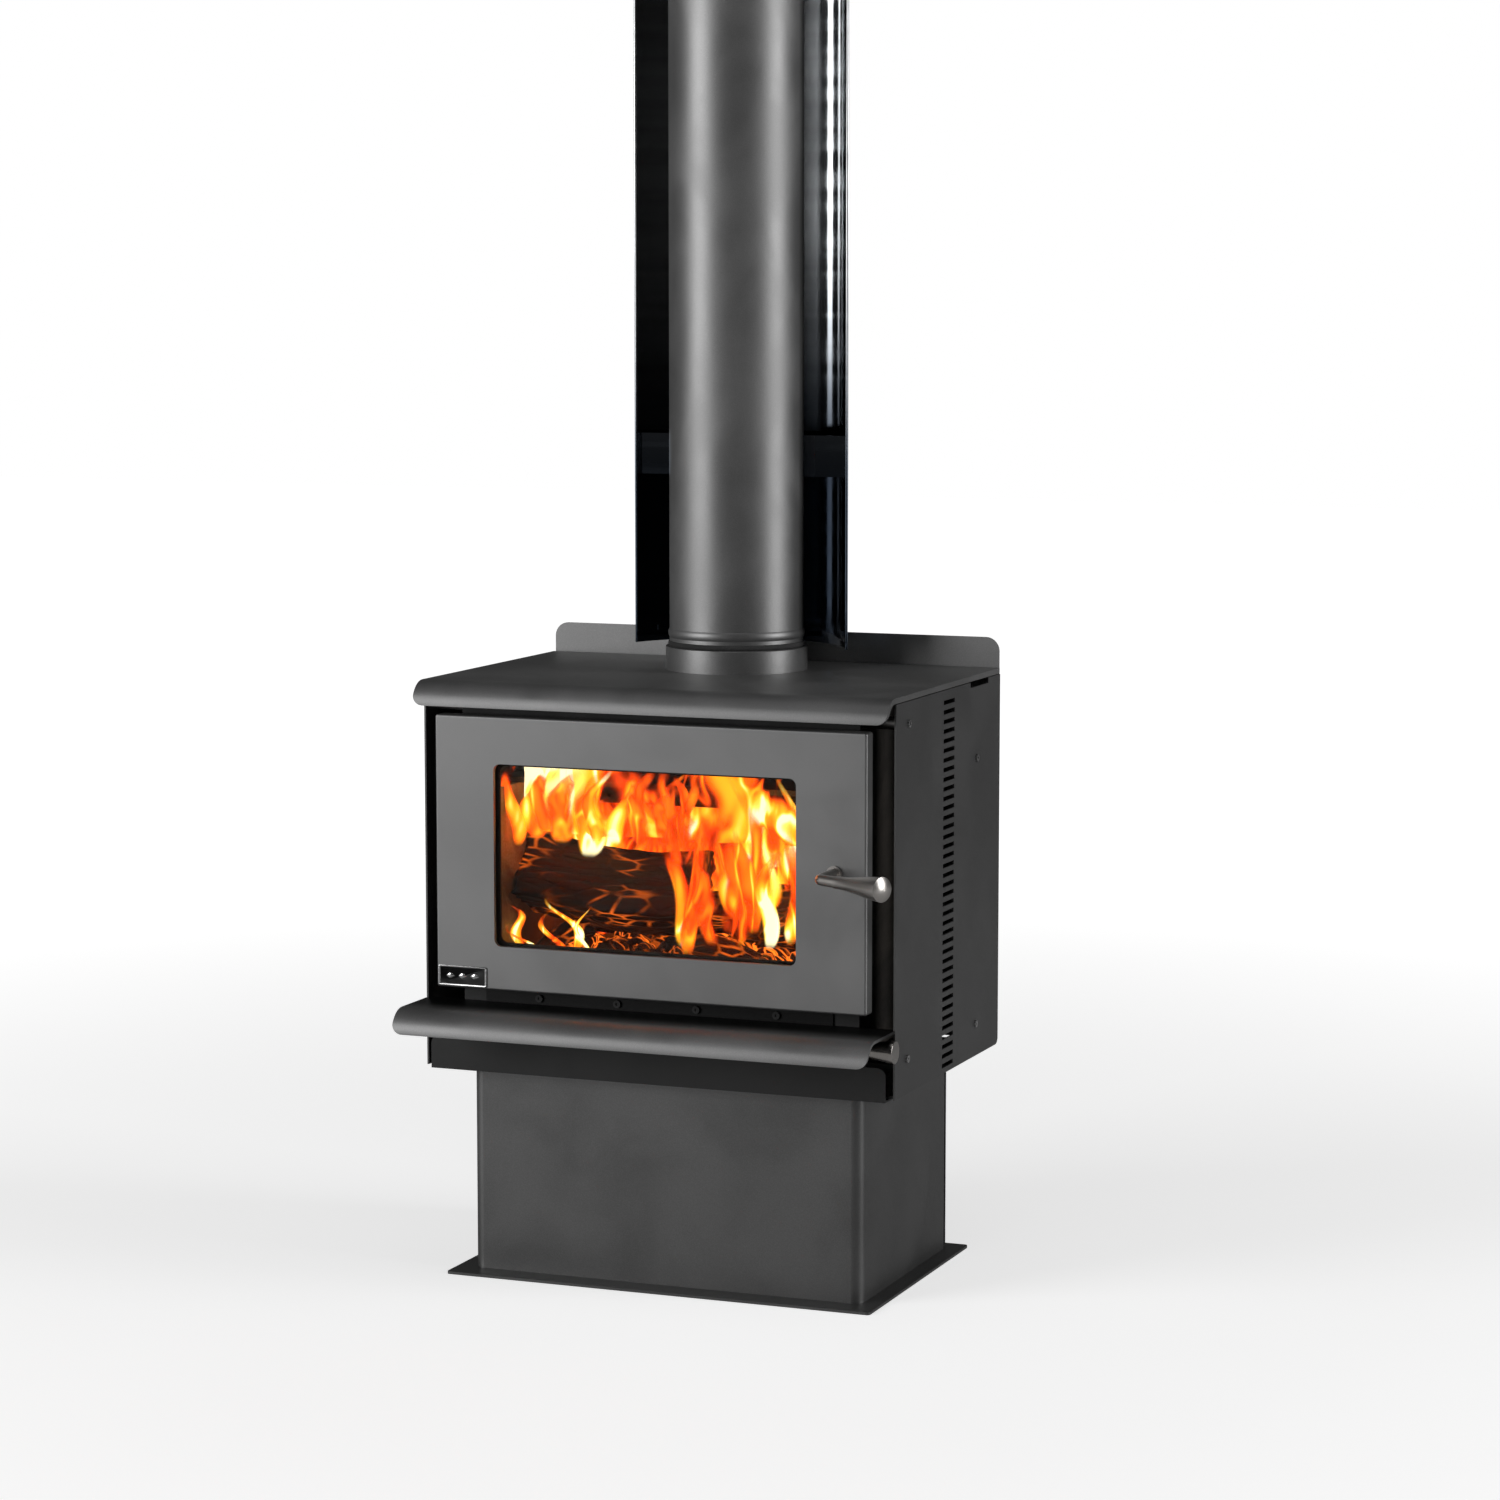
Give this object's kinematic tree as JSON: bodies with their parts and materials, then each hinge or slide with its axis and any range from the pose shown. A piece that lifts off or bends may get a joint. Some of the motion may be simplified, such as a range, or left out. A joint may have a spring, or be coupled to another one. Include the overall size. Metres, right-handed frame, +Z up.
{
  "type": "wood burning stove",
  "caption": "Free-standing wood stove on a pedestal: glazed door on side hinges, curled top plate and ash shelf, slotted side panels, flue pipe with open-fronted heat shield.",
  "frame": {"origin": "centre of the base plate's underside, on the floor", "axes": "+Z up along the flue, -Y out of the front through the door, +X to the right of a person facing the door"},
  "size_m": [0.5805, 0.474, 1.55],
  "materials": {
    "stove_paint": "satin metallic charcoal, high-temperature stove paint",
    "casing_paint": "satin charcoal paint, slightly darker",
    "black_paint": "matt black paint",
    "sooted_steel": "heat-stained steel",
    "firebrick": "insulating refractory brick, sooted",
    "bright_screw": "blackened steel screws",
    "polished_steel": "polished stainless sheet",
    "bare_steel": "bright turned steel",
    "handle_metal": "satin dark metal",
    "ceramic_glass": "clear ceramic glass",
    "rope": "braided glass-fibre rope",
    "badge_metal": "bright rim round a dark blank field"
  },
  "bodies": {
    "root": {"base_plate": "casing_paint", "pedestal_shell": "casing_paint", "pedestal_rear_panel": "casing_paint", "rear_panel_screws": "bright_screw", "casing_base_pan": "black_paint", "pedestal_bolts": "bright_screw", "casing_side_left": "casing_paint", "casing_side_right": "casing_paint", "casing_side_screws": "bright_screw", "panel_standoffs": "black_paint", "rear_heat_shield": "stove_paint", "top_plate": "stove_paint", "top_plate_spacers": "black_paint", "firebox_shell": "black_paint", "firebox_front_frame": "black_paint", "plenum_plate": "black_paint", "floor_bricks": "firebrick", "side_brick_left": "firebrick", "side_brick_right": "firebrick", "rear_brick": "firebrick", "baffle_plate": "sooted_steel", "secondary_air_tubes": "sooted_steel", "log_retainer": "sooted_steel", "airwash_channel": "sooted_steel", "support_rails": "black_paint", "ash_shelf": "stove_paint", "shelf_screws": "bright_screw", "apron_panel": "black_paint", "apron_screws": "bright_screw", "air_guides": "black_paint", "air_rod_guide": "black_paint", "hinge_lug_lower": "black_paint", "hinge_pin_lower": "bare_steel", "hinge_lug_upper": "black_paint", "hinge_pin_upper": "bare_steel", "latch_keeper": "black_paint", "flue_collar": "stove_paint", "flue_pipe": "stove_paint", "flue_shield": "polished_steel", "shield_brackets": "polished_steel", "shield_rivets": "bright_screw"},
    "door": {"door_panel": "stove_paint", "window_glass": "ceramic_glass", "glass_gasket": "rope", "glass_retainer": "black_paint", "retainer_screws": "bright_screw", "seal_channel": "black_paint", "door_rope_seal": "rope", "badge_plate": "badge_metal", "handle_boss": "handle_metal", "hinge_leaf_lower": "black_paint", "hinge_leaf_upper": "black_paint"},
    "handle": {"handle_rod": "handle_metal", "handle_grip": "handle_metal", "latch_tongue": "bare_steel", "spindle_nut": "bright_screw"},
    "air_control": {"air_slide": "black_paint", "air_rod": "bare_steel", "air_knob": "handle_metal"}
  },
  "joints": [
    {"name": "door_swing", "type": "hinge", "parent": "root", "child": "door", "pos_m": [-0.24, -0.156, 0.475], "axis": [0, 0, -1], "range_deg": [0, 110]},
    {"name": "handle_turn", "type": "hinge", "parent": "door", "child": "handle", "pos_m": [0.214, -0.2, 0.4755], "axis": [0, -1, 0], "range_deg": [-20, 70]},
    {"name": "air_control_pull", "type": "slide", "parent": "root", "child": "air_control", "axis": [1, 0, 0], "range_m": [0, 0.03]}
  ]
}
